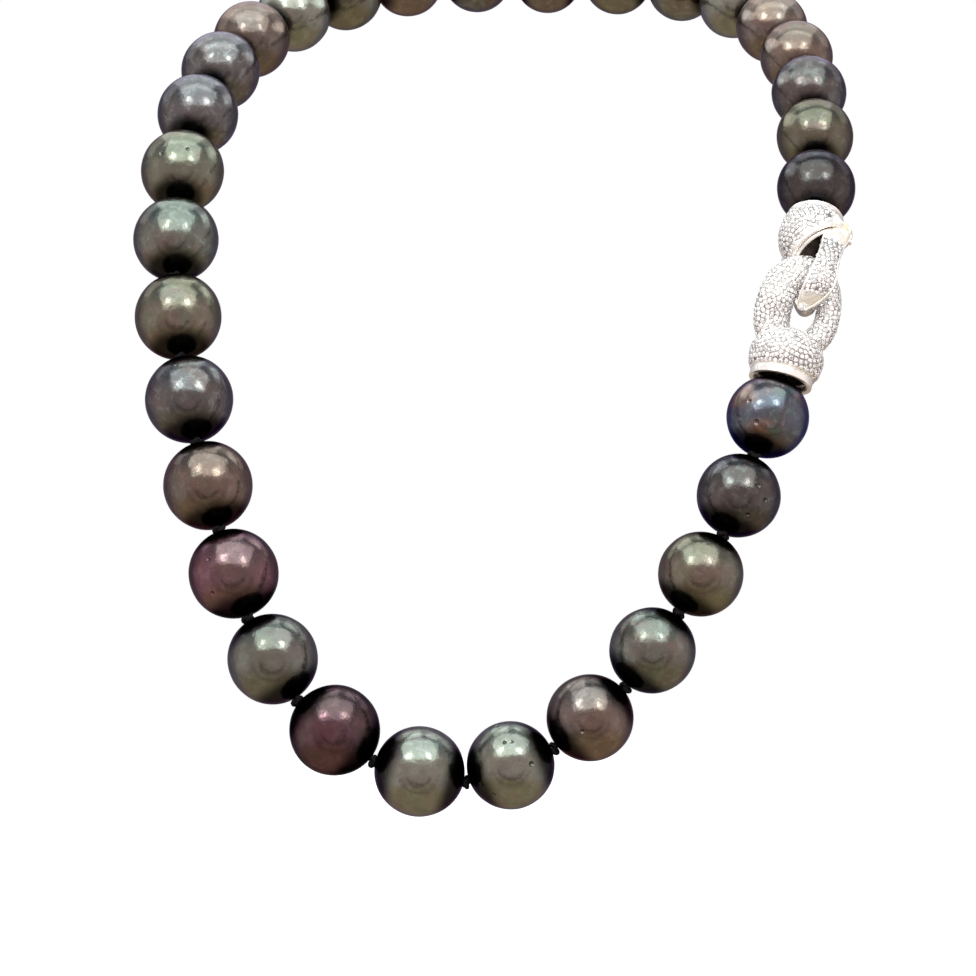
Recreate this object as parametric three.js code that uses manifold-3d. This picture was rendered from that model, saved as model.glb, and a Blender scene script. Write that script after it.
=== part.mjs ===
// A pearl necklace, shaped as it is worn: a graduated strand of dark round pearls, drilled and knotted
// on one black silk thread, closed by a pave-set hook-and-loop clasp that sits at the side of the front.
// Millimetres, +Z up, -Y towards whoever faces the wearer, +X to that viewer's right. The origin is
// where the nape pearl rests on the back of the neck.
import * as THREE from "three";
import { mergeVertices } from "three/addons/utils/BufferGeometryUtils.js";
import Module from "manifold-3d";

const wasm = await Module();
wasm.setup();

// Driving dimensions of the strand.
const LARGEST_PEARL = 14.6; // diameter, low on the left of the front
const SMALLEST_PEARL = 12.4; // diameter, at the nape
const LARGEST_TIER = 3; // the left pearl that is the largest, counted up from the lowest knot
const KNOT_GAP = 0.95; // between two pearls, filled by one knot
const DRILLED_HOLE = 1.1; // diameter
const SILK = 0.8; // diameter of the doubled thread
const KNOT_WIDTH = 1.7;
const KNOT_LENGTH = 0.8;
const TIERS = 16; // pearls on each side, where the clasp's halves stand in for two on the right
const LOOP_TIER = 7; // the clasp's loop half takes this place on the right
const HOOK_TIER = 8; // and its hook half this one

// Driving dimensions of the clasp, along its own axis from the crossing of hook and loop.
const LOOP_REACH = 19.4; // crossing to the knot in the lower cap
const HOOK_REACH = 12.1; // crossing to the knot in the upper cap
const LOOP_END = -15.2; // the thread's end knot inside the lower cap
const HOOK_END = 8.6; // and inside the upper one
const CAP_WALL = 0.9;

// The route of the knots round the neck, as seen from the front, from the lowest knot up each side.
const LOWEST_KNOT = [-14.6, -98.8, -142.5];
const LEFT_ROUTE = [
  [-29.6, -98.8, -139],
  [-41.8, -97.4, -129.4],
  [-49.8, -94.8, -116.3],
  [-54.8, -91.1, -102],
  [-61.7, -80.8, -73.8],
  [-63.6, -66, -47.3],
  [-60, -45.4, -26],
  [-50.6, -21.4, -12.2],
  [-32.5, -2.1, -2.4],
  [-20, 3.6, -0.1],
  [-7, 6.2, 0],
];
const RIGHT_ROUTE = [
  [-0.6, -98.7, -137],
  [10.9, -97.8, -127.3],
  [19.6, -95.8, -115.4],
  [26.7, -92.9, -103],
  [36.9, -83.6, -77.3],
  [42.2, -77.2, -58],
  [44.7, -60.8, -39.8],
  [44.9, -50.3, -30.4],
  [42.4, -27.1, -15.4],
  [30.2, -5.6, -4.2],
  [19.4, 1.8, -1],
  [7, 6.2, 0],
];
const NAPE_DIRECTION = new THREE.Vector3(0, 1, 0.1); // the way the two sides run to the nape pearl

// ---------- helpers ----------

const vector = (point) => new THREE.Vector3(...point);

const finish = (color, roughness, metalness) => ({ color, roughness, metalness });

const FINISHES = {
  silver: finish(0x6e7370, 0.22, 0.3),
  green: finish(0x3e4a45, 0.22, 0.3),
  olive: finish(0x4c4a3f, 0.22, 0.3),
  bronze: finish(0x57473f, 0.22, 0.3),
  aubergine: finish(0x452f39, 0.22, 0.3),
  slate: finish(0x4a4a52, 0.22, 0.3),
  midnight: finish(0x26282f, 0.22, 0.3),
  silk: finish(0x0c0b0b, 0.85, 0),
  pave: finish(0xe9e8ea, 0.3, 0.9),
  gold: finish(0xd8d5d0, 0.12, 1),
  bullion: finish(0xc9c7c4, 0.35, 1),
};

// The natural tones of the pearls, from the lowest knot up each side; the clasp has no tone.
const TONES = {
  left: [
    ...["silver", "aubergine", "silver", "aubergine", "bronze", "slate", "olive", "green"],
    ...["olive", "slate", "slate", "bronze", "silver", "olive", "bronze", "slate"],
  ],
  right: [
    ...["silver", "bronze", "green", "olive", "slate", "midnight", null, null],
    ...["midnight", "olive", "slate", "bronze", "bronze", "silver", "green", "olive"],
  ],
  nape: "bronze",
};

/** A geometry whose equal corners are merged, with positions alone, as the booleans need it. */
function welded(geometry) {
  const bare = geometry.clone();
  bare.deleteAttribute("normal");
  bare.deleteAttribute("uv");
  return mergeVertices(bare, 1e-4);
}

/** A closed three.js geometry as a manifold-3d solid. */
function solid(geometry) {
  const merged = welded(geometry);
  return new wasm.Manifold(
    new wasm.Mesh({
      numProp: 3,
      vertProperties: merged.attributes.position.array,
      triVerts: new Uint32Array(merged.index.array),
    }),
  );
}

/** A manifold-3d solid as a three.js geometry. */
function geometryOf(made) {
  const mesh = made.getMesh();
  const geometry = new THREE.BufferGeometry();
  geometry.setAttribute("position", new THREE.BufferAttribute(mesh.vertProperties, 3));
  geometry.setIndex(new THREE.BufferAttribute(mesh.triVerts, 1));
  geometry.computeVertexNormals();
  return geometry;
}

/** A named mesh with a material of its own in one of the finishes. */
function piece(name, geometry, finishName) {
  const mesh = new THREE.Mesh(geometry, new THREE.MeshStandardMaterial(FINISHES[finishName]));
  mesh.name = name;
  return mesh;
}

/** A solid of revolution about Y from a closed profile of [radius, height] corners. */
function lathe(profile, sides) {
  let turning = 0;
  profile.forEach(([radius, height], i) => {
    const [nextRadius, nextHeight] = profile[(i + 1) % profile.length];
    turning += radius * nextHeight - nextRadius * height;
  });
  const ordered = turning > 0 ? profile : [...profile].reverse();
  return new THREE.LatheGeometry(
    ordered.map(([radius, height]) => new THREE.Vector2(radius, height)),
    sides,
  );
}

/** A rod of one round or oval section along a smooth path through the points given. */
function rod(points, halfWidth, halfDepth, sides, steps) {
  const section = new THREE.Shape();
  section.absellipse(0, 0, halfWidth, halfDepth, 0, 2 * Math.PI, false);
  const outline = new THREE.Shape(section.getSpacedPoints(sides).slice(0, sides));
  return new THREE.ExtrudeGeometry(outline, {
    extrudePath: new THREE.CatmullRomCurve3(points.map(vector), false, "centripetal"),
    steps,
    bevelEnabled: false,
  });
}

/** A plain rod between two points, as a geometry in place. */
function straightRod(from, to, radius, sides) {
  const along = new THREE.Vector3().subVectors(to, from);
  const geometry = new THREE.CylinderGeometry(radius, radius, along.length(), sides);
  const turn = new THREE.Quaternion().setFromUnitVectors(
    new THREE.Vector3(0, 1, 0),
    along.clone().normalize(),
  );
  geometry.applyQuaternion(turn);
  const middle = new THREE.Vector3().addVectors(from, to).multiplyScalar(0.5);
  return geometry.translate(middle.x, middle.y, middle.z);
}

// ---------- the strand's knots ----------

/** Diameter of the pearl at a tier: largest low on the left, smallest at the nape. */
function pearlDiameter(side, tier) {
  const left = side === "left";
  const away = left ? Math.abs(tier - LARGEST_TIER) : LARGEST_TIER + tier - 1;
  const run = left ? TIERS + 1 - LARGEST_TIER : LARGEST_TIER + TIERS;
  const ease = left ? 1.8 : 0.85;
  return LARGEST_PEARL - (LARGEST_PEARL - SMALLEST_PEARL) * (away / run) ** ease;
}

/** Distance between the two knots that hold what stands at a tier. */
function reach(side, tier) {
  if (side === "right" && tier === LOOP_TIER) return LOOP_REACH;
  if (side === "right" && tier === HOOK_TIER) return HOOK_REACH;
  return pearlDiameter(side, tier) + KNOT_GAP;
}

/** Knots from the lowest one up a side, each on the route and one reach from the last. */
function knotsUp(side, route) {
  const curve = new THREE.CatmullRomCurve3(
    [LOWEST_KNOT, ...route].map(vector),
    false,
    "centripetal",
  );
  const fine = curve.getSpacedPoints(3000);
  const knots = [fine[0]];
  let at = 0;
  for (let tier = 1; tier < TIERS; tier++) {
    const last = knots[knots.length - 1];
    const step = reach(side, tier);
    while (fine[at].distanceTo(last) < step) at++;
    const towards = new THREE.Vector3().subVectors(fine[at], last).setLength(step);
    knots.push(last.clone().add(towards));
  }
  return knots;
}

/** Adds each side's last knot, so that the top pearls and the nape pearl close the strand. */
function closeAtNape(left, right) {
  const [low, high] = [left[TIERS - 1], right[TIERS - 1]];
  const across = new THREE.Vector3().subVectors(high, low);
  const spare = across.length() - SMALLEST_PEARL - KNOT_GAP;
  across.normalize();
  const back = NAPE_DIRECTION.clone().addScaledVector(across, -NAPE_DIRECTION.dot(across));
  back.normalize();
  const [p, q] = [reach("left", TIERS), reach("right", TIERS)];
  const a = (spare + (p ** 2 - q ** 2) / spare) / 2;
  const rise = Math.sqrt(p ** 2 - a ** 2);
  left.push(low.clone().addScaledVector(across, a).addScaledVector(back, rise));
  right.push(high.clone().addScaledVector(across, a - spare).addScaledVector(back, rise));
}

const leftKnots = knotsUp("left", LEFT_ROUTE);
const rightKnots = knotsUp("right", RIGHT_ROUTE);
closeAtNape(leftKnots, rightKnots);
const crossing = rightKnots[LOOP_TIER]; // where the clasp's hook passes through its loop

// The origin moves to where the nape pearl touches the neck, on its front.
const napeCentre = new THREE.Vector3()
  .addVectors(leftKnots[TIERS], rightKnots[TIERS])
  .multiplyScalar(0.5);
const neckContact = napeCentre.clone().add(new THREE.Vector3(0, -SMALLEST_PEARL / 2, 0));
new Set([...leftKnots, ...rightKnots]).forEach((knot) => knot.sub(neckContact));

// ---------- pearls ----------

/** A drilled pearl whose hole lies along Y. */
function drilledPearl(diameter) {
  const [radius, hole] = [diameter / 2, DRILLED_HOLE / 2];
  const [arcs, sides] = [8, 14];
  const mouth = Math.asin(hole / radius);
  const profile = [];
  for (let i = 0; i <= arcs; i++) {
    const angle = mouth + (i / arcs) * (Math.PI - 2 * mouth);
    profile.push([radius * Math.sin(angle), -radius * Math.cos(angle)]);
  }
  profile.push(profile[0]);
  return lathe(profile, sides);
}

/** A pearl between two knots, drilled from one to the other. */
function pearlBetween(name, below, above, tone) {
  const along = new THREE.Vector3().subVectors(above, below);
  const mesh = piece(name, drilledPearl(along.length() - KNOT_GAP), tone);
  mesh.position.addVectors(below, above).multiplyScalar(0.5);
  mesh.quaternion.setFromUnitVectors(new THREE.Vector3(0, 1, 0), along.normalize());
  return mesh;
}

const label = (tier) => String(tier).padStart(2, "0");

function strandOfPearls() {
  const strand = new THREE.Group();
  for (const [side, knots] of [["left", leftKnots], ["right", rightKnots]]) {
    TONES[side].forEach((tone, below) => {
      if (!tone) return;
      const name = `pearl_${side}_${label(below + 1)}`;
      strand.add(pearlBetween(name, knots[below], knots[below + 1], tone));
    });
  }
  strand.add(pearlBetween("pearl_nape", leftKnots[TIERS], rightKnots[TIERS], TONES.nape));
  return strand;
}

// ---------- silk thread ----------

/** One knot, flattened between two pearls, with the strand running along a direction. */
function knotAt(centre, along) {
  const geometry = new THREE.SphereGeometry(KNOT_WIDTH / 2, 6, 4);
  geometry.scale(1, KNOT_LENGTH / KNOT_WIDTH, 1);
  geometry.applyQuaternion(
    new THREE.Quaternion().setFromUnitVectors(new THREE.Vector3(0, 1, 0), along),
  );
  return solid(geometry.translate(centre.x, centre.y, centre.z));
}

/** The whole thread, from its end knot in the lower cap round the neck to the one in the upper cap. */
function silkThread() {
  const lower = rightKnots.slice(0, LOOP_TIER).reverse();
  const upper = rightKnots.slice(HOOK_TIER).reverse();
  const loopEnd = crossing.clone().lerp(lower[0], -LOOP_END / LOOP_REACH);
  const hookEnd = crossing.clone().lerp(upper[upper.length - 1], HOOK_END / HOOK_REACH);
  const route = [loopEnd, ...lower, ...leftKnots.slice(1), ...upper, hookEnd];
  let thread = null;
  for (let i = 0; i < route.length; i++) {
    const [before, after] = [route[Math.max(i - 1, 0)], route[Math.min(i + 1, route.length - 1)]];
    const along = new THREE.Vector3().subVectors(after, before).normalize();
    let part = knotAt(route[i], along);
    if (i > 0) part = part.add(solid(straightRod(route[i - 1], route[i], SILK / 2, 6)));
    thread = thread ? thread.add(part) : part;
  }
  return piece("silk_thread", geometryOf(thread), "silk");
}

// ---------- clasp: shapes shared by its halves ----------

/** A height on a cap, as a share of the way from its crown to its rim. */
const onCap = (cap, share) => cap.crown + (cap.rim - cap.crown) * share;

/** A domed cap about Y: closed at its crown, widest past the middle, and drawn in at its rim. */
function domedCap(cap) {
  const outer = [[0, cap.crown]];
  const shoulder = 6;
  for (let i = 1; i <= shoulder; i++) {
    const angle = ((i / shoulder) * Math.PI) / 2;
    outer.push([cap.widest * Math.sin(angle), onCap(cap, 0.6 * (1 - Math.cos(angle)))]);
  }
  const nearRim = cap.mouth + 0.7 * (cap.widest - cap.mouth);
  outer.push([nearRim, onCap(cap, 0.85)], [cap.mouth, cap.rim]);
  return lathe([...outer, [0, cap.rim]], 24);
}

/** The hollow of a cap, open past its rim. */
function capHollow(cap) {
  const beyond = cap.rim + Math.sign(cap.rim - cap.crown);
  return lathe(
    [
      [0, beyond],
      [cap.mouth - CAP_WALL, beyond],
      [cap.mouth - CAP_WALL, cap.rim],
      [cap.mouth - CAP_WALL + 0.3, onCap(cap, 0.8)],
      [cap.widest * 0.5, onCap(cap, cap.floor + 0.04)],
      [0, onCap(cap, cap.floor)],
    ],
    24,
  );
}

/** A flat ring about Y. */
function ring(outer, inner, low, high, sides) {
  return lathe(
    [
      [inner, low],
      [outer, low],
      [outer, high],
      [inner, high],
      [inner, low],
    ],
    sides,
  );
}

/** A close-wound tube of fine wire that guards the silk, as one ridged sleeve about Y. */
function bullionSleeve(low, high, turns) {
  const [bore, root, crest] = [SILK / 2 + 0.15, SILK / 2 + 0.3, SILK / 2 + 0.42];
  const pitch = (high - low) / turns;
  const outer = [];
  for (let turn = 0; turn < turns; turn++) {
    outer.push([root, low + turn * pitch], [crest, low + (turn + 0.5) * pitch]);
  }
  outer.push([root, high]);
  return lathe([[bore, low], ...outer, [bore, high], [bore, low]], 8);
}

/** Turns a group so that its Y runs from one point to another and its Z faces out. */
function faceOut(group, from, to) {
  const up = new THREE.Vector3().subVectors(to, from).normalize();
  const out = new THREE.Vector3(0.16, -1, 0.1);
  out.addScaledVector(up, -out.dot(up)).normalize();
  const right = new THREE.Vector3().crossVectors(up, out);
  group.quaternion.setFromRotationMatrix(new THREE.Matrix4().makeBasis(right, up, out));
  group.position.copy(crossing);
  return group;
}

// ---------- clasp: the loop half ----------

const LINK = {
  offset: 0.4, // of its centre line to the right of the clasp's axis
  halfWidth: 4.6, // of the centre line
  halfHeight: 6.9,
  limb: 2.6, // half the limb's width in the plane of the link, on the average
  taper: 0.55, // the left limb is this much more, the right one this much less
  depth: 2.05, // half the limb's thickness
  twist: 1.5,
};
const LOWER_CAP = { crown: -11, rim: -19, widest: 6.2, mouth: 5.1, floor: 0.38 };

/** An oval link below the crossing, its foot twisted so that one limb tucks behind the cap. */
function twistedLink() {
  const geometry = new THREE.TorusGeometry(1, 0.5, 10, 26);
  const corner = geometry.getAttribute("position");
  for (let i = 0; i < corner.count; i++) {
    const [x, y, z] = [corner.getX(i), corner.getY(i), corner.getZ(i)];
    const angle = Math.atan2(y, x);
    const [c, s] = [Math.cos(angle), Math.sin(angle)];
    const outward = new THREE.Vector2(c / LINK.halfWidth, s / LINK.halfHeight).normalize();
    const across = ((Math.hypot(x, y) - 1) / 0.5) * (LINK.limb - LINK.taper * c);
    const lean = LINK.twist * 2 * c * Math.max(0, -s);
    corner.setXYZ(
      i,
      LINK.offset + c * LINK.halfWidth + outward.x * across,
      (s - 1) * LINK.halfHeight + outward.y * across,
      (z / 0.5) * LINK.depth + lean,
    );
  }
  return geometry;
}

function loopHalf() {
  const half = faceOut(new THREE.Group(), rightKnots[LOOP_TIER - 1], crossing);
  const casting = solid(twistedLink())
    .add(solid(domedCap(LOWER_CAP)))
    .subtract(solid(capHollow(LOWER_CAP)));
  const { rim } = LOWER_CAP;
  const plate = rim + 2.2;
  half.add(
    piece("loop_casting", geometryOf(casting), "pave"),
    piece("loop_collar", ring(5.25, 4.35, rim - 1.25, rim - 0.05, 24), "gold"),
    piece("loop_cup_plate", ring(3.9, 0.95, plate, plate + 0.5, 20), "gold"),
    piece("loop_bullion", bullionSleeve(-LOOP_REACH + 0.55, LOOP_END - 0.6, 6), "bullion"),
  );
  return half;
}

// ---------- clasp: the hook half ----------

const UPPER_CAP = { crown: 0.8, rim: 11, widest: 5.7, mouth: 4.7, floor: 0.7 };
const HOOD_CUT = new THREE.Vector3(-0.58, 0.79, -0.2).normalize(); // of the slanting lower edge
const HOOD_EDGE = 3.2; // its distance from the crossing
const GALLERY = { centre: new THREE.Vector3(0, 4.1, 0), radius: 3.5 }; // the dark hollow under the hood
const HINGE = new THREE.Vector3(3.7, 6.7, 2.9); // the gate's hinge, in the shoulder beside the hood
const HINGE_AXIS = new THREE.Vector3(0.97, -0.22, -0.1).normalize();
const SHOULDER = { centre: new THREE.Vector3(3.6, 7.1, 2.5), radius: 2.45 };
const KNUCKLE = { radius: 1.2, length: 1.5, gap: 0.12, hole: 0.56, pin: 0.46 };
const GATE = { halfWidth: 1.85, halfThickness: 1 };
const ARM = { halfWidth: 1.3, halfThickness: 1.1 };
const GATE_LINE = [
  [3.7, 6.7, 2.9],
  [3.6, 4.7, 4.1],
  [2.8, 1, 4.8],
  [2, -3, 4.5],
  [1.4, -6, 3.1],
  [1, -6.7, 0.8],
];
const BACK_LINE = [
  [-2.4, 7.4, -1.4],
  [-2.8, 4.4, -3.2],
  [-1.2, 0.4, -4.5],
  [0.4, -3.6, -4.3],
  [1, -6.3, -2.6],
  [1, -6.7, 0.9],
];
const MEETING = 0.9; // the height at which the gate's tip meets the back arm

/** A rod along the hinge line between two distances from the hinge. */
const alongHinge = (from, to, radius, sides) =>
  solid(
    straightRod(
      HINGE.clone().addScaledVector(HINGE_AXIS, from),
      HINGE.clone().addScaledVector(HINGE_AXIS, to),
      radius,
      sides,
    ),
  );

/** The rounded shoulder beside the hood, with the lugs of the gate's hinge. */
function shoulder() {
  const { centre, radius } = SHOULDER;
  return solid(new THREE.SphereGeometry(radius, 18, 12).translate(...centre));
}

/** The slot for the gate's knuckle, open to the front and below, where the gate swings. */
function knuckleSlot() {
  const half = KNUCKLE.length / 2 + KNUCKLE.gap;
  const swing = new THREE.BoxGeometry(20, 20, 20);
  swing.translate(HINGE.x, HINGE.y - 8.4, HINGE.z + 8.8);
  return alongHinge(-half, half, 5, 16)
    .intersect(solid(swing))
    .add(alongHinge(-half, half, KNUCKLE.radius + 0.25, 16));
}

/** The pave-set lever that closes the hook, with its knuckle between the shoulder's lugs. */
function gateArm() {
  const half = KNUCKLE.length / 2;
  const lever = rod(GATE_LINE, GATE.halfWidth, GATE.halfThickness, 12, 16);
  const arm = solid(lever)
    .trimByPlane([0, 0, 1], MEETING + 0.15)
    .subtract(alongHinge(half, half + 4, SHOULDER.radius + 0.7, 16))
    .subtract(alongHinge(-half - 4, -half, SHOULDER.radius + 0.7, 16))
    .add(alongHinge(-half, half, KNUCKLE.radius, 16))
    .subtract(alongHinge(-4, 4, KNUCKLE.hole, 12));
  return piece("gate_arm", geometryOf(arm), "pave");
}

/** The plain pin through the shoulder and the knuckle. */
function hingePin() {
  const reachOut = 2.35;
  const pin = alongHinge(-1.9, reachOut, KNUCKLE.pin, 12);
  return piece("gate_hinge_pin", geometryOf(pin), "gold");
}

function hookHalf() {
  const half = faceOut(new THREE.Group(), crossing, rightKnots[HOOK_TIER]);
  const backArm = solid(rod(BACK_LINE, ARM.halfWidth, ARM.halfThickness, 10, 14)).trimByPlane(
    [0, 0, -1],
    0.15 - MEETING,
  );
  const hollow = new THREE.SphereGeometry(GALLERY.radius, 20, 14);
  hollow.translate(...GALLERY.centre);
  const casting = solid(domedCap(UPPER_CAP))
    .trimByPlane(HOOD_CUT.toArray(), HOOD_EDGE)
    .subtract(solid(hollow))
    .add(backArm)
    .add(shoulder())
    .subtract(knuckleSlot())
    .subtract(solid(capHollow(UPPER_CAP)))
    .subtract(alongHinge(-2.1, 5, KNUCKLE.hole, 12));
  const { rim } = UPPER_CAP;
  half.add(
    piece("hook_casting", geometryOf(casting), "pave"),
    piece("hook_collar", ring(4.75, 3.9, rim + 0.05, rim + 0.5, 24), "gold"),
    piece("hook_cup_plate", ring(3.3, 0.95, rim - 1.2, rim - 0.75, 20), "gold"),
    piece("hook_bullion", bullionSleeve(HOOK_END + 0.6, HOOK_REACH - 0.55, 5), "bullion"),
    gateArm(),
    hingePin(),
  );
  return half;
}

// ---------- the necklace ----------

const necklace = new THREE.Group();
necklace.add(strandOfPearls(), silkThread(), loopHalf(), hookHalf());
necklace.userData = { leftKnots, rightKnots }; // the hinge lines of the strand

export default necklace;
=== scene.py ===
"""The looks of a dark pearl necklace with a diamond-set clasp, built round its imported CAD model."""

import logging
import math
import random
from contextlib import contextmanager
from dataclasses import dataclass, field
from enum import Enum
from typing import Callable, Iterator, Sequence

import bmesh
import bpy
import numpy as np
from mathutils import Matrix, Vector
from mathutils.bvhtree import BVHTree
from mathutils.kdtree import KDTree


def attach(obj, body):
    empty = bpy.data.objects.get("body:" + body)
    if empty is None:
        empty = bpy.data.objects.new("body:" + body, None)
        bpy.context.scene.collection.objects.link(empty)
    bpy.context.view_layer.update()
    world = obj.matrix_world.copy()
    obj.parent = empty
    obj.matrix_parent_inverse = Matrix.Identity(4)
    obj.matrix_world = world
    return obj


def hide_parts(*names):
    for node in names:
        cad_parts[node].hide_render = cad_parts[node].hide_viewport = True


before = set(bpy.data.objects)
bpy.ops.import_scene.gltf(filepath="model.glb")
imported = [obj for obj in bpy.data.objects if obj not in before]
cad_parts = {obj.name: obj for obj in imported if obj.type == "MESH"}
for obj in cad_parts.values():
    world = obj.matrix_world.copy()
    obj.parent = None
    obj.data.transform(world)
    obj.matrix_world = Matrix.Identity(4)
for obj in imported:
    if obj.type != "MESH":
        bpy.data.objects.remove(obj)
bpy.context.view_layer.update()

log = logging.getLogger("necklace")

MM = 0.001
KNOT_GAP = 0.95 * MM
LOOP_TIER = 7
HOOK_TIER = 8
NAPE_BODY = "nape"

Colour = tuple[float, float, float]
FaceTest = Callable[[Vector, Vector], bool]
WHITE: Colour = (1.0, 1.0, 1.0)
MINT: Colour = (0.93, 1.0, 0.95)


# ----- Modelling helpers -----


def deselect_all() -> None:
    """Leaves object mode with nothing selected."""
    if bpy.context.mode != "OBJECT":
        bpy.ops.object.mode_set(mode="OBJECT")
    bpy.ops.object.select_all(action="DESELECT")


def make_active(piece: bpy.types.Object) -> None:
    """Selects one object alone and makes it the active one."""
    deselect_all()
    piece.select_set(True)
    bpy.context.view_layer.objects.active = piece


@contextmanager
def editing(piece: bpy.types.Object) -> Iterator[None]:
    """Opens a piece in edit mode with nothing selected.

    Args:
        piece: The mesh object to edit.

    Returns:
        A context in which the mesh operators act on the piece.
    """
    make_active(piece)
    bpy.ops.object.mode_set(mode="EDIT")
    bpy.ops.mesh.select_all(action="DESELECT")
    yield
    bpy.ops.object.mode_set(mode="OBJECT")


def open_mesh() -> bmesh.types.BMesh:
    """The mesh that is open for editing, as the last operator left it."""
    return bmesh.from_edit_mesh(bpy.context.edit_object.data)


def select_where(kind: str, test: Callable[[object], bool]) -> int:
    """Selects the verts, edges or faces of the open mesh that pass a test.

    Args:
        kind: "verts", "edges" or "faces".
        test: Says whether an element is selected.

    Returns:
        How many were selected.
    """
    bpy.ops.mesh.select_all(action="DESELECT")
    bpy.ops.mesh.select_mode(type={"verts": "VERT", "edges": "EDGE", "faces": "FACE"}[kind])
    mesh = open_mesh()
    found = [element for element in getattr(mesh, kind) if test(element)]
    for element in found:
        element.select_set(True)
    mesh.select_flush_mode()
    bmesh.update_edit_mesh(bpy.context.edit_object.data)
    return len(found)


def face_outwards() -> None:
    """Turns every face of the open mesh outwards."""
    bpy.ops.mesh.select_all(action="SELECT")
    bpy.ops.mesh.normals_make_consistent(inside=False)


def apply_modifier(piece: bpy.types.Object, kind: str, **settings: object) -> None:
    """Adds a modifier with its settings and applies it.

    Args:
        piece: The object to change.
        kind: The modifier's type.
        **settings: The modifier's properties.
    """
    make_active(piece)
    modifier = piece.modifiers.new(kind.title(), kind)
    for name, value in settings.items():
        setattr(modifier, name, value)
    bpy.ops.object.modifier_apply(modifier=modifier.name)


def settle(piece: bpy.types.Object, place: Matrix | None = None) -> bpy.types.Object:
    """Puts a piece in place and moves that place into its mesh.

    Args:
        piece: The object to settle.
        place: Where its own frame goes, or None if it is there already.

    Returns:
        The same object, now at the origin, unturned and unscaled.
    """
    if place is not None:
        piece.matrix_world = place @ piece.matrix_world
    make_active(piece)
    bpy.ops.object.transform_apply(location=True, rotation=True, scale=True)
    return piece


def own_copy(piece: bpy.types.Object, name: str) -> bpy.types.Object:
    """Copies an object together with its mesh.

    Args:
        piece: The object to copy.
        name: The copy's name.

    Returns:
        The copy, linked to the scene.
    """
    copy = piece.copy()
    copy.data = piece.data.copy()
    copy.name = name
    bpy.context.scene.collection.objects.link(copy)
    return copy


def join(pieces: Sequence[bpy.types.Object], name: str) -> bpy.types.Object:
    """Joins several objects into one.

    Args:
        pieces: The objects to join.
        name: The name of the result.

    Returns:
        The joined object.
    """
    make_active(pieces[0])
    for piece in pieces:
        piece.select_set(True)
    if len(pieces) > 1:
        bpy.ops.object.join()
    pieces[0].name = name
    pieces[0].data.name = name
    return pieces[0]


def remove(piece: bpy.types.Object) -> None:
    """Deletes a pattern object that only its copies needed."""
    bpy.data.objects.remove(piece)


def smooth(piece: bpy.types.Object, degrees: float) -> None:
    """Shades a piece smooth, with edges sharper than an angle left crisp."""
    make_active(piece)
    bpy.ops.object.shade_smooth_by_angle(angle=math.radians(degrees))


def points_of(mesh: bpy.types.Mesh) -> np.ndarray:
    """A mesh's points, one to a row."""
    return np.array([v.co for v in mesh.vertices], float)


def tree_of(points: Sequence[Vector]) -> KDTree:
    """A search tree over points."""
    tree = KDTree(len(points))
    for index, point in enumerate(points):
        tree.insert(point, index)
    tree.balance()
    return tree


def frame_along(origin: Vector, axis: Vector) -> Matrix:
    """A frame whose Z runs along an axis.

    Args:
        origin: The frame's origin.
        axis: The direction that Z takes.

    Returns:
        The frame as a matrix.
    """
    turn = axis.normalized().to_track_quat("Z", "Y").to_matrix().to_4x4()
    return Matrix.Translation(origin) @ turn


def tube(
    name: str, points: Sequence[Vector], radius: float, closed: bool = False, sides: int = 2
) -> bpy.types.Object:
    """A round wire along points, as a mesh.

    Args:
        name: The object's name.
        points: The points it runs through.
        radius: The wire's radius.
        closed: Whether it joins up with itself.
        sides: The curve's bevel resolution.

    Returns:
        The mesh object.
    """
    deselect_all()
    curve = bpy.data.curves.new(name, "CURVE")
    curve.dimensions = "3D"
    curve.bevel_depth = radius
    curve.bevel_resolution = sides
    curve.use_fill_caps = not closed
    spline = curve.splines.new("POLY")
    spline.points.add(len(points) - 1)
    for place, point in zip(spline.points, points):
        place.co = (*point, 1.0)
    spline.use_cyclic_u = closed
    wire = bpy.data.objects.new(name, curve)
    bpy.context.scene.collection.objects.link(wire)
    make_active(wire)
    bpy.ops.object.convert(target="MESH")
    return bpy.context.object


def on_body(
    piece: bpy.types.Object,
    body: str,
    finish: bpy.types.Material,
    stands_for: Sequence[str] = (),
) -> None:
    """Dresses a finished piece and lets it ride on its body.

    Args:
        piece: The finished piece.
        body: The CAD body it moves with.
        finish: Its material.
        stands_for: CAD nodes that it replaces.
    """
    piece.data.materials.clear()
    piece.data.materials.append(finish)
    if stands_for:
        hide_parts(*stands_for)
    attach(piece, body)
    log.info("%s rides on %s, %d faces", piece.name, body, len(piece.data.polygons))


def inlay(piece: bpy.types.Object, finish: bpy.types.Material, test: FaceTest) -> None:
    """Gives part of a dressed piece another finish.

    Args:
        piece: The piece.
        finish: The finish of that part.
        test: Says, from a face's centre and normal, whether it belongs to the part.
    """
    piece.data.materials.append(finish)
    number = len(piece.data.materials) - 1
    for face in piece.data.polygons:
        if test(face.center, face.normal):
            face.material_index = number


# ----- Shader helpers -----


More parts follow.
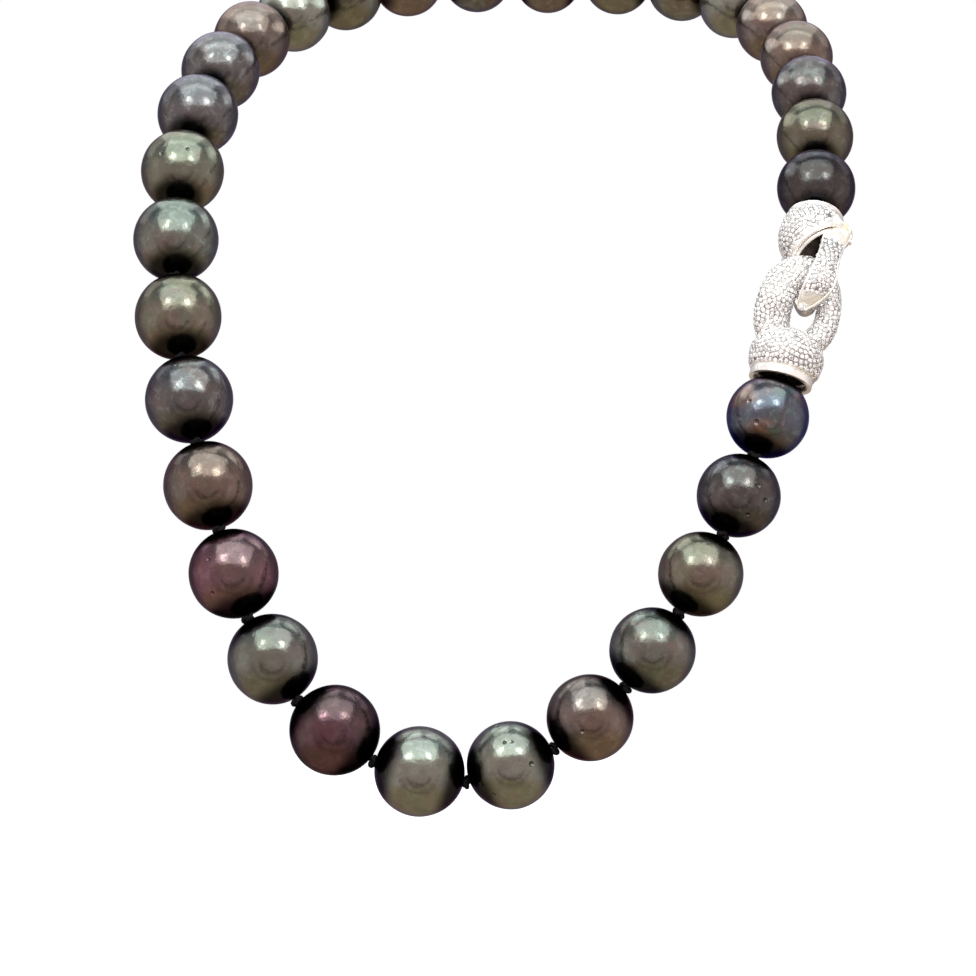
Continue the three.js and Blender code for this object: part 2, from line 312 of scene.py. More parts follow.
@dataclass(frozen=True)
class Channel:
    """A shader socket that takes part in Python expressions."""

    shader: "Shader"
    socket: bpy.types.NodeSocket

    def __add__(self, other: object) -> "Channel":
        """The sum with a value or channel."""
        return self.shader.math("ADD", self, other)

    def __sub__(self, other: object) -> "Channel":
        """The difference from a value or channel."""
        return self.shader.math("SUBTRACT", self, other)

    def __mul__(self, other: object) -> "Channel":
        """The product with a value or channel."""
        return self.shader.math("MULTIPLY", self, other)

    def __rsub__(self, other: object) -> "Channel":
        """A value less this."""
        return self.shader.math("SUBTRACT", other, self)

    __radd__ = __add__
    __rmul__ = __mul__

    def ramp(self, low: float, high: float) -> "Channel":
        """This mapped smoothly so that low gives 0 and high gives 1."""
        settings = {"interpolation_type": "SMOOTHSTEP"}
        inputs = {"Value": self, "From Min": low, "From Max": high}
        return self.shader.node("ShaderNodeMapRange", settings, inputs, "Result")


class Shader:
    """A material's node tree, written as expressions."""

    def __init__(self, name: str, world: bool = False) -> None:
        """Makes a material of that name with a bare Principled shader, or a world."""
        self.material = (bpy.data.worlds if world else bpy.data.materials).new(name)
        self.material.use_nodes = True
        self.tree = self.material.node_tree
        self.surface = self.tree.nodes["Background" if world else "Principled BSDF"]

    def node(
        self, kind: str, settings: dict | None = None, inputs: dict | None = None, output: object = 0
    ) -> Channel:
        """Adds a node.

        Args:
            kind: The node's type.
            settings: Its properties, set first.
            inputs: Values or channels for its sockets, by name or index.
            output: The name or index of the socket to return.

        Returns:
            The output socket as a channel.
        """
        made = self.tree.nodes.new(kind)
        for name, value in (settings or {}).items():
            if name == "stops":
                self._set_stops(made.color_ramp, value)
            else:
                setattr(made, name, value)
        for name, value in (inputs or {}).items():
            self.feed(made.inputs[name], value)
        return Channel(self, made.outputs[output])

    @staticmethod
    def _set_stops(ramp: bpy.types.ColorRamp, stops: Sequence[tuple[float, Colour]]) -> None:
        """Gives a colour ramp its stops."""
        while len(ramp.elements) < len(stops):
            ramp.elements.new(0.5)
        for element, (position, colour) in zip(ramp.elements, stops):
            element.position = position
            element.color = (*colour, 1.0)

    def feed(self, socket: bpy.types.NodeSocket, value: object) -> None:
        """Links a channel to a socket, or sets the socket's value."""
        if isinstance(value, Channel):
            self.tree.links.new(value.socket, socket)
        elif isinstance(value, tuple) and len(value) == 3 and socket.type == "RGBA":
            socket.default_value = (*value, 1.0)
        else:
            socket.default_value = value

    def vector_part(self, vector: Channel, part: str) -> Channel:
        """One coordinate of a vector: X, Y or Z."""
        return self.node("ShaderNodeSeparateXYZ", {}, {"Vector": vector}, part)

    def math(self, operation: str, *values: object) -> Channel:
        """A Math node on values and channels."""
        return self.node("ShaderNodeMath", {"operation": operation}, dict(enumerate(values)))

    def mix(self, share: object, first: object, second: object) -> Channel:
        """A blend of two colours."""
        settings = {"data_type": "RGBA"}
        return self.node("ShaderNodeMix", settings, {0: share, 6: first, 7: second}, 2)

    def place(self) -> Channel:
        """The point on the surface, in metres."""
        return self.node("ShaderNodeTexCoord", output="Object")

    def noise(self, size: float, detail: float = 2.0, roughness: float = 0.5, **more: float) -> Channel:
        """Soft noise whose blotches are about a size in metres."""
        inputs = {"Vector": self.place(), "Scale": 1 / size, "Detail": detail, "Roughness": roughness}
        inputs.update({name.title(): value for name, value in more.items()})
        return self.node("ShaderNodeTexNoise", {}, inputs, "Fac")

    def cells(self, size: float) -> Channel:
        """The distance to the middle of cells about a size in metres across."""
        inputs = {"Vector": self.place(), "Scale": 1 / size}
        return self.node("ShaderNodeTexVoronoi", {}, inputs, "Distance")

    def stored(self, attribute: str) -> Channel:
        """A value that the mesh stores."""
        return self.node("ShaderNodeAttribute", {"attribute_name": attribute}, {}, "Fac")

    def bump(self, height: Channel, depth: float, under: Channel | None = None) -> Channel:
        """A bumped normal, with the height's full range standing for a depth in metres."""
        inputs = {"Height": height, "Distance": depth, "Strength": 1.0}
        if under is not None:
            inputs["Normal"] = under
        return self.node("ShaderNodeBump", {}, inputs)

    def dress(self, **sockets: object) -> bpy.types.Material:
        """Feeds the Principled shader by socket name, with _ for a space.

        Args:
            **sockets: A value or channel for each socket.

        Returns:
            The material.
        """
        for name, value in sockets.items():
            self.feed(self.surface.inputs[name.replace("_", " ")], value)
        return self.material


# ----- Finishes -----


@dataclass(frozen=True)
class NacreFinish:
    """Dark nacre: a body colour, two overtones that drift over it, the tint of its rim, and painted shade
    round the drill holes and in the pits.
    """

    slot: str
    body: Colour
    overtone: Colour
    blush: Colour
    rim: Colour
    glint: Colour = (0.42, 0.5, 0.49)
    speck: Colour = (0.03, 0.03, 0.03)
    # The near-black colour of the painted shade round the drill holes and in the pits.
    painted_crevice_shade: Colour = (0.004, 0.004, 0.005)
    film: float = 420.0
    roughness: float = 0.21

    def material(self) -> bpy.types.Material:
        """The nacre's material."""
        shader = Shader("nacre_" + self.slot)
        drift = shader.noise(9 * MM, 2.0, 0.55, distortion=0.4).ramp(0.38, 0.66)
        second = shader.noise(6.3 * MM, 3.0, 0.6, distortion=1.2).ramp(0.47, 0.72)
        grain = shader.noise(0.5 * MM, 4.0, 0.65)
        clouds = shader.noise(2.2 * MM, 4.0, 0.6)
        colour = shader.mix(drift, self.body, self.overtone)
        colour = shader.mix(second * 0.75, colour, self.blush)
        colour = shader.mix((clouds - 0.42) * 0.9, colour, self.speck)
        glint = shader.noise(1.5 * MM, 4.0, 0.62, distortion=0.6).ramp(0.48, 0.68)
        colour = shader.mix(glint * 0.26, colour, self.glint)
        # Painted shade: the stored shade darkens the colour towards near black round the drill holes,
        # standing for the dark reflections of the neighbouring pearls, and in the pits.
        shade = shader.stored("shade")
        colour = shader.mix(shade, self.painted_crevice_shade, colour)
        normal = shader.bump(shader.noise(2.4 * MM, 3.0, 0.5), 0.14 * MM)
        normal = shader.bump(shader.cells(2.6 * MM).ramp(0.0, 0.045), 0.05 * MM, normal)
        return shader.dress(
            Base_Color=colour,
            Metallic=1.0,
            Roughness=self.roughness + (grain - 0.5) * 0.14,
            Specular_Tint=self.rim,
            Thin_Film_Thickness=self.film,
            Thin_Film_IOR=1.38,
            # The painted shade also thins the coat there.
            Coat_Weight=0.3 * shade,
            Coat_Roughness=0.17,
            Coat_IOR=1.45,
            Normal=normal,
        )


class Tone(Enum):
    """The natural tones of the pearls."""

    SILVER = NacreFinish(
        "pearl_silver", (0.31, 0.34, 0.3), (0.28, 0.3, 0.25), (0.3, 0.26, 0.26), (0.5, 0.44, 0.55)
    )
    GREEN = NacreFinish(
        "pearl_green", (0.2, 0.23, 0.2), (0.22, 0.21, 0.18), (0.25, 0.19, 0.185), (0.42, 0.4, 0.48)
    )
    OLIVE = NacreFinish(
        "pearl_olive", (0.23, 0.22, 0.16), (0.21, 0.23, 0.18), (0.24, 0.19, 0.17), (0.45, 0.4, 0.42),
        (0.41, 0.42, 0.37)
    )
    BRONZE = NacreFinish(
        "pearl_bronze", (0.24, 0.18, 0.15), (0.21, 0.18, 0.17), (0.19, 0.18, 0.15), (0.48, 0.4, 0.44),
        (0.43, 0.38, 0.36)
    )
    AUBERGINE = NacreFinish(
        "pearl_aubergine", (0.22, 0.11, 0.135), (0.19, 0.13, 0.13), (0.17, 0.09, 0.15), (0.3, 0.3, 0.33),
        (0.42, 0.26, 0.31)
    )
    SLATE = NacreFinish(
        "pearl_slate", (0.16, 0.155, 0.165), (0.17, 0.145, 0.14), (0.14, 0.165, 0.165), (0.42, 0.38, 0.5)
    )
    MIDNIGHT = NacreFinish(
        "pearl_midnight", (0.13, 0.145, 0.2), (0.35, 0.22, 0.16), (0.13, 0.22, 0.19), (0.2, 0.2, 0.52)
    )


def tones(names: str) -> tuple[Tone, ...]:
    """The tones of those names, from the lowest pearl up."""
    return tuple(Tone[name] for name in names.split())


@dataclass(frozen=True)
class GoldFinish:
    """White gold, polished, with hairline wear and a faint warm cast."""

    name: str
    colour: Colour
    roughness: float
    wear: float = 0.5
    metal: float = 0.8

    def material(self) -> bpy.types.Material:
        """The gold's material."""
        shader = Shader(self.name)
        cast = shader.noise(2.4 * MM, 2.0)
        scratches = shader.noise(0.35 * MM, 5.0, 0.7, distortion=3.0)
        warm = tuple(channel * shade for channel, shade in zip(self.colour, (1.0, 0.96, 0.9)))
        return shader.dress(
            Base_Color=shader.mix(cast, self.colour, warm),
            Metallic=self.metal,
            Roughness=self.roughness + (scratches - 0.45) * (0.16 * self.wear),
            Normal=shader.bump(scratches, 0.006 * MM),
        )


@dataclass(frozen=True)
class DiamondFinish:
    """Small cut diamonds: each facet flashes light or dark by itself."""

    dark: Colour = (0.1, 0.09, 0.09)
    light: Colour = (0.93, 0.93, 0.93)

    def material(self) -> bpy.types.Material:
        """The stones' material, which reads each facet's own flash."""
        shader = Shader("diamond")
        flash = shader.stored("flash")
        colour = shader.mix(flash, self.dark, self.light)
        return shader.dress(
            Base_Color=colour,
            Metallic=0.3,
            Roughness=0.05 + (1 - flash) * 0.05,
            IOR=2.42,
            Coat_Weight=1.0,
            Coat_Roughness=0.02,
        )


@dataclass(frozen=True)
class SilkFinish:
    """Black silk cord, with the fine lumps of its fibres."""

    dark: Colour = (0.001, 0.001, 0.001)
    light: Colour = (0.009, 0.008, 0.009)

    def material(self) -> bpy.types.Material:
        """The silk's material."""
        shader = Shader("silk")
        fibres = shader.noise(0.12 * MM, 3.0, 0.7, distortion=0.8)
        lumps = shader.noise(0.4 * MM, 2.0)
        return shader.dress(
            Base_Color=shader.mix(fibres, self.dark, self.light),
            Roughness=0.55 + fibres * 0.35,
            Specular_IOR_Level=0.12,
            Sheen_Weight=0.03,
            Sheen_Roughness=0.4,
            Normal=shader.bump(fibres * 0.6 + lumps * 0.4, 0.05 * MM),
        )


@dataclass(frozen=True)
class FloorFinish:
    """A plain pale sweep."""

    dark: Colour = (0.93, 0.93, 0.93)
    light: Colour = (0.96, 0.96, 0.96)

    def material(self) -> bpy.types.Material:
        """The floor's material."""
        shader = Shader("pale_floor")
        grain = shader.noise(30 * MM, 3.0)
        return shader.dress(
            Base_Color=shader.mix(grain, self.dark, self.light),
            Roughness=0.9,
            Emission_Color=WHITE,
            Emission_Strength=1.0,
        )


class Finishes:
    """Every material that the pieces share, made once."""

    def __init__(self) -> None:
        """Makes the materials."""
        self.nacre = {tone: tone.value.material() for tone in Tone}
        self.polished = GoldFinish("polished_white_gold", (0.97, 0.965, 0.96), 0.09, metal=0.7).material()
        # White gold tinted cream: a painted warm reflection on the hook's shoulder and the gate's head.
        self.cream_reflection = GoldFinish("white_gold_painted_cream_reflection", (0.98, 0.93, 0.84), 0.16, metal=0.6).material()
        self.arm = GoldFinish("shaded_white_gold", (0.6, 0.57, 0.55), 0.1, metal=1.0).material()
        # White gold darkened as painted shade between the set stones.
        self.painted_shade_ground = GoldFinish("pave_ground_painted_shade", (0.31, 0.285, 0.29), 0.3, 1.0).material()
        self.bead = GoldFinish("pave_beads", (0.95, 0.94, 0.93), 0.12).material()
        self.bullion = GoldFinish("bullion_wire", (0.75, 0.74, 0.72), 0.25).material()
        # Near-black white gold: painted shade inside the cups, in the hollow under the hood and on the cup
        # plates.
        self.inside = GoldFinish("inside_painted_shade", (0.1, 0.095, 0.09), 0.4, 1.0).material()
        self.diamond = DiamondFinish().material()
        self.silk = SilkFinish().material()


# ----- The strand -----


@dataclass(frozen=True)
class DrillLine:
    """A pearl's centre, radius and the direction of its drilled hole, read from its CAD node."""

    centre: Vector
    axis: Vector
    radius: float

    @classmethod
    def of_node(cls, node: str) -> "DrillLine":
        """Reads the line of a pearl's node, whose only long edges run down its bore."""
        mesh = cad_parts[node].data
        points = points_of(mesh)
        edges = np.array([e.vertices for e in mesh.edges])
        runs = points[edges[:, 1]] - points[edges[:, 0]]
        lengths = np.linalg.norm(runs, axis=1)
        long = lengths > 0.9 * lengths.max()
        ends = points[edges[long]]
        flip = np.sign((runs[long] @ runs[long][0]))
        ends[flip < 0] = ends[flip < 0][:, ::-1]
        low, high = ends[:, 0].mean(0), ends[:, 1].mean(0)
        radius = np.linalg.norm(points - (low + high) / 2, axis=1).max()
        if high[2] < low[2]:
            low, high = high, low
        middle = Vector((low + high) / 2)
        return cls(middle, Vector(high - low).normalized(), float(radius))

    def knot(self, way: int) -> Vector:
        """The knot past one end: 1 for the upper end, -1 for the lower."""
        return self.centre + self.axis * (way * (self.radius + KNOT_GAP / 2))


@dataclass
class PearlStrand:
    """The pearls, each drilled, a little uneven, and with its own growth pits."""

    seed: int = 31
    segments: int = 72
    rings: int = 42
    unevenness: float = 0.16 * MM
    blotch: float = 7 * MM
    pit_width: float = 0.42 * MM
    pit_depth: float = 0.32 * MM
    # Painted shade: how dark the pits and the nacre round the drill holes are made, and how far from the
    # bore it reaches.
    pit_flat: float = 0.62
    pit_shade: float = 0.04
    painted_crevice_shade: float = 0.1
    painted_shade_reach: tuple[float, float] = (0.4, 0.74)
    leaning_reach: tuple[float, float] = (0.88, 0.98)
    pits: dict[str, tuple[tuple[float, float], ...]] = field(
        default_factory=lambda: {
            "pearl_right_01": ((28, 6), (-45, -22), (-29, -38), (-47, 65), (-10, 35), (2, 36)),
            "pearl_right_06": ((24, 47), (-33, 22), (-20, -8)),
            "pearl_left_10": ((-48, -5),),
            "pearl_left_09": ((-28, 21), (12, 28)),
            "pearl_left_04": ((-32, 20), (-27, -24)),
            "pearl_left_06": ((-22, 48),),
            "pearl_right_05": ((24, 14), (36, -6), (10, -26)),
            "pearl_right_02": ((-12, -14),),
        }
    )
    depths: dict[str, float] = field(
        default_factory=lambda: {
            "pearl_left_02": 0.66,
            "pearl_left_03": 0.74,
            "pearl_left_05": 0.9,
            "pearl_left_12": 0.85,
            "pearl_right_05": 0.72,
            "pearl_right_09": 0.52,
            "pearl_right_10": 0.8,
            "pearl_right_11": 0.85,
        }
    )
    left: tuple[Tone, ...] = tones(
        "SILVER AUBERGINE SILVER AUBERGINE BRONZE SLATE OLIVE GREEN "
        "OLIVE SLATE SLATE BRONZE SILVER OLIVE BRONZE SLATE"
    )
    below_clasp: tuple[Tone, ...] = tones("SILVER BRONZE GREEN OLIVE SLATE MIDNIGHT")
    above_clasp: tuple[Tone, ...] = tones("SLATE OLIVE SLATE BRONZE BRONZE SILVER GREEN OLIVE")

    def pattern(self) -> bpy.types.Object:
        """One drilled pearl of radius 1 mm, with its bore along Z."""
        deselect_all()
        bpy.ops.mesh.primitive_uv_sphere_add(segments=self.segments, ring_count=self.rings, radius=MM)
        pearl = bpy.context.object
        pole = math.cos(0.75 * math.pi / self.rings) * MM
        with editing(pearl):
            select_where("verts", lambda v: abs(v.co.z) > pole)
            bpy.ops.mesh.delete(type="VERT")
            select_where("edges", lambda e: e.is_boundary)
            bpy.ops.mesh.bridge_edge_loops()
            mouth = math.cos(1.25 * math.pi / self.rings) * MM
            select_where(
                "edges",
                lambda e: len(e.link_faces) == 2
                and all(abs(v.co.z) > mouth for v in e.verts)
                and (e.verts[0].co - e.verts[1].co).length < 0.3 * MM
                and any(f.calc_area() > 0.05 * MM * MM for f in e.link_faces),
            )
            bpy.ops.mesh.bevel(offset=0.012 * MM, segments=2, affect="EDGES")
            face_outwards()
        return pearl

    def pit_ways(self, node: str, draw: random.Random) -> list[Vector]:
        """The directions in which a pearl has pits, from its centre.

        Args:
            node: The pearl's node.
            draw: The source of places for pearls that have no list of their own.

        Returns:
            Unit vectors.
        """
        bearings = list(self.pits.get(node, ()))
        for _ in range(draw.choice((1, 2, 2, 3))):
            bearings.append((draw.uniform(90, 270), draw.uniform(-60, 60)))
        ways = []
        for right, up in bearings:
            turn, rise = math.radians(right), math.radians(up)
            across = math.cos(rise)
            ways.append(Vector((across * math.sin(turn), -across * math.cos(turn), math.sin(rise))))
        return ways

    def add_pit(self, pearl: bpy.types.Object, spot: Vector, way: Vector, width: float) -> None:
        """Presses a growth pit into a pearl, on finer faces of its own.

        Args:
            pearl: The pearl, in place.
            spot: Where the pit is.
            way: The outward direction there.
            width: The pit's radius.
        """
        with editing(pearl):
            select_where("faces", lambda f: (f.calc_center_median() - spot).length < 2.2 * width)
            bpy.ops.mesh.subdivide(number_cuts=4, smoothness=1.0)
            nearest = min(open_mesh().verts, key=lambda v: (v.co - spot).length_squared).index
            select_where("verts", lambda v: v.index == nearest)
            bpy.ops.transform.translate(
                value=tuple(-way * self.pit_depth * width / self.pit_width),
                use_proportional_edit=True,
                proportional_edit_falloff="SPHERE",
                proportional_size=width,
            )

    def add_shade(
        self, pearl: bpy.types.Object, line: DrillLine, depth: float, spots: Sequence[tuple[Vector, float]]
    ) -> None:
        """Stores the painted shade: how much darker the colour is made round the drill holes, standing for
        the dark reflections of the neighbouring pearls, and in the pits.

        Args:
            pearl: The finished pearl.
            line: Its drill line.
            depth: How light the whole pearl is, against its tone.
            spots: Each pit's place and radius.
        """
        points = points_of(pearl.data)
        out = points - np.array(line.centre)
        out /= np.linalg.norm(out, axis=1)[:, None]
        lean = abs(line.axis.y)
        near, full = (a + (b - a) * lean for a, b in zip(self.painted_shade_reach, self.leaning_reach))
        # Painted shade round both drill holes, standing for the neighbours' dark reflections.
        share = np.clip((np.abs(out @ np.array(line.axis)) - near) / (full - near), 0, 1)
        share = share * share * (3 - 2 * share)
        shade = depth * (1 - share * (1 - self.painted_crevice_shade))
        # Painted shade in the pits.
        for spot, width in spots:
            gap = np.linalg.norm(points - np.array(spot), axis=1) / width
            rise = (gap - self.pit_flat) / (1 - self.pit_flat)
            shade *= np.clip(self.pit_shade + (1 - self.pit_shade) * rise, self.pit_shade, 1)
        layer = pearl.data.attributes.new("shade", "FLOAT", "POINT")
        layer.data.foreach_set("value", shade.astype(np.float32))

    def build(self, finishes: Finishes) -> dict[str, DrillLine]:
        """Builds every pearl.

        Args:
            finishes: The shared materials.

        Returns:
            Each pearl node's drill line.
        """
        pattern = self.pattern()
        swell = bpy.data.textures.new("swell", "CLOUDS")
        swell.noise_scale = self.blotch
        draw = random.Random(self.seed)
        columns = (("left", 1, self.left), ("right", 1, self.below_clasp))
        columns += (("right", HOOK_TIER + 1, self.above_clasp),)
        rows = [
            (f"pearl_{side}_{tier:02d}", f"tier_{tier:02d}", tone)
            for side, lowest, column in columns
            for tier, tone in enumerate(column, lowest)
        ]
        rows.append(("pearl_nape", NAPE_BODY, Tone.BRONZE))
        lines = {}
        for node, body, tone in rows:
            line = lines[node] = DrillLine.of_node(node)
            pearl = own_copy(pattern, node + "_nacre")
            scale = line.radius / MM
            settle(pearl, frame_along(line.centre, line.axis) @ Matrix.Scale(scale, 4))
            apply_modifier(
                pearl,
                "DISPLACE",
                texture=swell,
                texture_coords="GLOBAL",
                mid_level=0.5,
                strength=self.unevenness,
            )
            spots = []
            for way in self.pit_ways(node, draw):
                width = self.pit_width * draw.uniform(0.6, 1.1)
                spots.append((line.centre + way * line.radius, width))
                self.add_pit(pearl, spots[-1][0], way, width)
            smooth(pearl, 50)
            self.add_shade(pearl, line, self.depths.get(node, 1.0), spots)
            on_body(pearl, body, finishes.nacre[tone], [node])
        remove(pattern)
        return lines


@dataclass
class SilkThread:
    """The silk: a hard lumpy knot between pearls, and two plies through each bore."""

    seed: int = 7
    knot_size: float = 0.82 * MM
    cord: float = 0.34 * MM
    ply: float = 0.2 * MM
    turns_per_mm: float = 0.55
    knotted_ends: dict[str, tuple[int, ...]] = field(
        default_factory=lambda: {"pearl_left_01": (1, -1), "pearl_right_09": (1, -1), "pearl_nape": ()}
    )

    def knot_pattern(self) -> bpy.types.Object:
        """One overhand knot drawn tight, with the strand along Z."""
        points = []
        steps = 42
        for step in range(steps):
            t = math.tau * step / steps
            across = Vector(
                (
                    math.sin(t) + 2 * math.sin(2 * t),
                    math.cos(t) - 2 * math.cos(2 * t),
                    -0.9 * math.sin(3 * t),
                )
            )
            points.append(across * (self.knot_size / 2.6))
        return tube("knot_pattern", points, self.cord, closed=True, sides=2)

    def plies(self, start: Vector, end: Vector) -> bpy.types.Object:
        """Two plies twisted round each other from one point to another."""
        place = frame_along(start, end - start)
        length = (end - start).length
        steps = max(8, int(length / MM * 4))
        strands = []
        for phase in (0.0, math.pi):
            points = []
            for step in range(steps + 1):
                z = length * step / steps
                turn = phase + math.tau * self.turns_per_mm * z / MM
                spin = Vector((math.cos(turn), math.sin(turn), 0)) * self.ply * 0.85
                points.append(place @ (spin + Vector((0, 0, z))))
            strands.append(tube("ply", points, self.ply, sides=1))
        return join(strands, "plies")

    def build(self, finishes: Finishes, lines: dict[str, DrillLine], clasp: "ClaspSeat") -> None:
        """Builds the silk of every body.

        Args:
            finishes: The shared materials.
            lines: The pearls' drill lines.
            clasp: The clasp's place.
        """
        draw = random.Random(self.seed)
        pattern = self.knot_pattern()
        parts: dict[str, list[bpy.types.Object]] = {}
        for node, line in lines.items():
            body = NAPE_BODY if node == "pearl_nape" else "tier_" + node[-2:]
            parts.setdefault(body, []).append(self.plies(line.knot(-1), line.knot(1)))
            for way in self.knotted_ends.get(node, (1,)):
                knot = own_copy(pattern, "knot")
                turn = Matrix.Rotation(draw.uniform(0, math.tau), 4, "Z")
                settle(knot, frame_along(line.knot(way), line.axis) @ turn)
                parts[body].append(knot)
        for body, start, end in clasp.thread_ends():
            parts.setdefault(body, []).append(self.plies(start, end))
            knot = own_copy(pattern, "knot")
            settle(knot, frame_along(end, end - start))
            parts[body].append(knot)
        for body, pieces in parts.items():
            silk = join(pieces, "silk_" + body)
            smooth(silk, 60)
            on_body(silk, body, finishes.silk, ["silk_thread"])
        remove(pattern)


# ----- The clasp -----


@dataclass(frozen=True)
class ClaspSeat:
    """Where the clasp sits: the crossing of hook and loop, and each half's own frame."""

    crossing: Vector
    lower_knot: Vector
    upper_knot: Vector
    loop_end: float = -15.2 * MM
    hook_end: float = 8.6 * MM
    loop_reach: float = 19.4 * MM

    @classmethod
    def between(cls, lower: DrillLine, upper: DrillLine) -> "ClaspSeat":
        """Finds the seat between the pearls below and above the clasp."""
        low_knot, high_knot = lower.knot(1), upper.knot(-1)
        rim = ring_centre("loop_collar")
        plate = ring_centre("loop_cup_plate")
        along = (plate - rim).normalized()
        return cls(low_knot + along * cls.loop_reach, low_knot, high_knot)

    def frame_of(self, start: Vector, end: Vector) -> Matrix:
        """A half's frame in millimetres: Y from start to end, Z facing out, at the crossing."""
        up = (end - start).normalized()
        out = Vector((0.16, -1, 0.1))
        out = (out - up * out.dot(up)).normalized()
        right = up.cross(out)
        turn = Matrix((right, up, out)).transposed().to_4x4()
        return Matrix.Translation(self.crossing) @ turn @ Matrix.Scale(MM, 4)

    def loop_frame(self) -> Matrix:
        """The loop half's frame."""
        return self.frame_of(self.lower_knot, self.crossing)

    def hook_frame(self) -> Matrix:
        """The hook half's frame."""
        return self.frame_of(self.crossing, self.upper_knot)

    def thread_ends(self) -> list[tuple[str, Vector, Vector]]:
        """The thread's runs into the two caps, as body, start and end."""
        low = (self.crossing - self.lower_knot).normalized()
        high = (self.upper_knot - self.crossing).normalized()
        return [
            (f"tier_{LOOP_TIER:02d}", self.lower_knot, self.crossing + low * self.loop_end),
            (f"tier_{HOOK_TIER:02d}", self.upper_knot, self.crossing + high * self.hook_end),
        ]


def ring_centre(node: str) -> Vector:
    """The centre of a ring-shaped CAD node."""
    points = np.unique(points_of(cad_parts[node].data).round(7), axis=0)
    return Vector(points.mean(0))


def softened_casting(node: str, name: str, voxel: float, passes: int) -> bpy.types.Object:
    """A smooth, fine skin cast over the shape of a CAD node.

    Args:
        node: The CAD node whose shape it takes.
        name: The skin's name.
        voxel: The size of its faces.
        passes: How often it is smoothed.

    Returns:
        The skin.
    """
    skin = own_copy(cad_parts[node], name)
    skin.parent = None
    for key in list(skin.keys()):
        del skin[key]
    skin.hide_render = False
    skin.hide_viewport = False
    with editing(skin):
        bpy.ops.mesh.select_all(action="SELECT")
        bpy.ops.mesh.remove_doubles(threshold=0.002 * MM)
    apply_modifier(skin, "REMESH", mode="VOXEL", voxel_size=voxel)
    apply_modifier(skin, "SMOOTH", factor=0.5, iterations=passes)
    smooth(skin, 60)
    return skin


